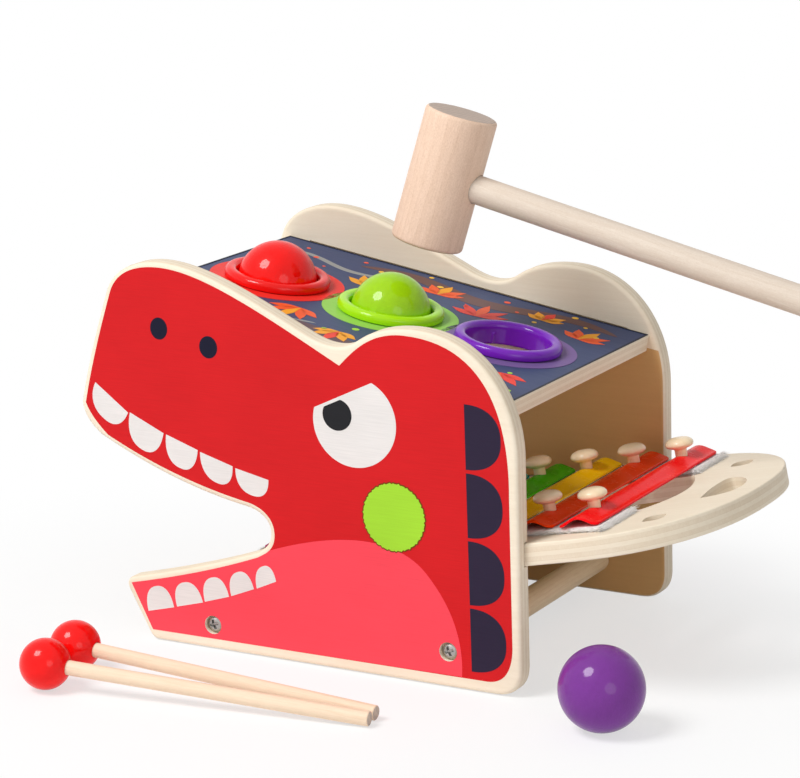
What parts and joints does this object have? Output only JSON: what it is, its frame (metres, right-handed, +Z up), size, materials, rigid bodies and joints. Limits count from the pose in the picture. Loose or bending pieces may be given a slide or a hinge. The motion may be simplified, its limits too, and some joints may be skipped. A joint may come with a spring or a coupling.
{
  "type": "percussion table",
  "caption": "Wooden pound-and-tap toy bench with animal-head side panels, a sloping ball board with rings, a slide-out xylophone, a hammer, mallets and balls.",
  "frame": {"origin": "middle of the near side panel's foot, on the surface that the bench stands on", "axes": "+X from the snout to the tail, +Y from the near panel to the far panel, +Z up"},
  "size_m": [0.3871, 0.3178, 0.2939],
  "materials": {
    "panel_red": "painted plywood, satin",
    "board_navy": "printed plywood, satin",
    "plastic_red": "glossy moulded",
    "plastic_green": "glossy moulded",
    "plastic_purple": "glossy moulded",
    "lacquer_red": "gloss lacquer",
    "lacquer_green": "gloss lacquer",
    "lacquer_purple": "gloss lacquer",
    "bare_wood": "sanded plywood and turned wood",
    "screw_steel": "zinc plated",
    "felt": "white felt",
    "key_red": "gloss enamel",
    "key_orange": "gloss enamel",
    "key_yellow": "gloss enamel",
    "key_green": "gloss enamel",
    "key_teal": "gloss enamel",
    "key_blue": "gloss enamel",
    "key_purple": "gloss enamel",
    "key_pink": "gloss enamel",
    "pin_wood": "clear gloss lacquer",
    "hammer_head_wood": "sanded",
    "hammer_handle_wood": "sanded"
  },
  "bodies": {
    "bench": {"near_side_panel": "panel_red", "far_side_panel": "panel_red", "top_board": "board_navy", "ring_red": "plastic_red", "ring_green": "plastic_green", "ring_purple": "plastic_purple", "front_dowel": "bare_wood", "rear_dowel": "bare_wood", "screw_near_front": "screw_steel", "screw_near_rear": "screw_steel", "screw_far_front": "screw_steel", "screw_far_rear": "screw_steel"},
    "xylophone": {"xylophone_board": "bare_wood", "felt_near": "felt", "felt_far": "felt", "key_1_red": "key_red", "key_2_orange": "key_orange", "key_3_yellow": "key_yellow", "key_4_green": "key_green", "key_5_teal": "key_teal", "key_6_blue": "key_blue", "key_7_purple": "key_purple", "key_8_pink": "key_pink", "pin_near_1": "pin_wood", "pin_near_2": "pin_wood", "pin_near_3": "pin_wood", "pin_near_4": "pin_wood", "pin_near_5": "pin_wood", "pin_near_6": "pin_wood", "pin_near_7": "pin_wood", "pin_near_8": "pin_wood", "pin_far_1": "pin_wood", "pin_far_2": "pin_wood", "pin_far_3": "pin_wood", "pin_far_4": "pin_wood", "pin_far_5": "pin_wood", "pin_far_6": "pin_wood", "pin_far_7": "pin_wood", "pin_far_8": "pin_wood"},
    "red_ball": {"ball_red": "lacquer_red"},
    "green_ball": {"ball_green": "lacquer_green"},
    "purple_ball": {"ball_purple": "lacquer_purple"},
    "hammer": {"hammer_head": "hammer_head_wood", "hammer_handle": "hammer_handle_wood"},
    "front_mallet": {"mallet_head_front": "lacquer_red", "mallet_stick_front": "bare_wood"},
    "back_mallet": {"mallet_head_back": "lacquer_red", "mallet_stick_back": "bare_wood"}
  },
  "joints": [
    {"name": "xylophone_slide", "type": "slide", "parent": "bench", "child": "xylophone", "axis": [0.9767, 0, 0.2147], "range_m": [0, 0.15]},
    {"name": "ball_red_drop", "type": "slide", "parent": "bench", "child": "red_ball", "axis": [0.1606, 0, 0.987], "range_m": [-0.08, 0]},
    {"name": "ball_green_drop", "type": "slide", "parent": "bench", "child": "green_ball", "axis": [0.1606, 0, 0.987], "range_m": [-0.08, 0]},
    {"name": "ball_purple_lift", "type": "slide", "parent": "bench", "child": "purple_ball", "axis": [0, 0, 1], "range_m": [0, 0.1]},
    {"name": "hammer_swing", "type": "hinge", "parent": "bench", "child": "hammer", "pos_m": [0.22345, 0.1112, 0.20192], "axis": [-0.0937, 0.9917, -0.0878], "range_deg": [-5.5, 30]},
    {"name": "mallet_front_lift", "type": "slide", "parent": "bench", "child": "front_mallet", "axis": [0, 0, 1], "range_m": [0, 0.1]},
    {"name": "mallet_back_lift", "type": "slide", "parent": "bench", "child": "back_mallet", "axis": [0, 0, 1], "range_m": [0, 0.1]}
  ]
}
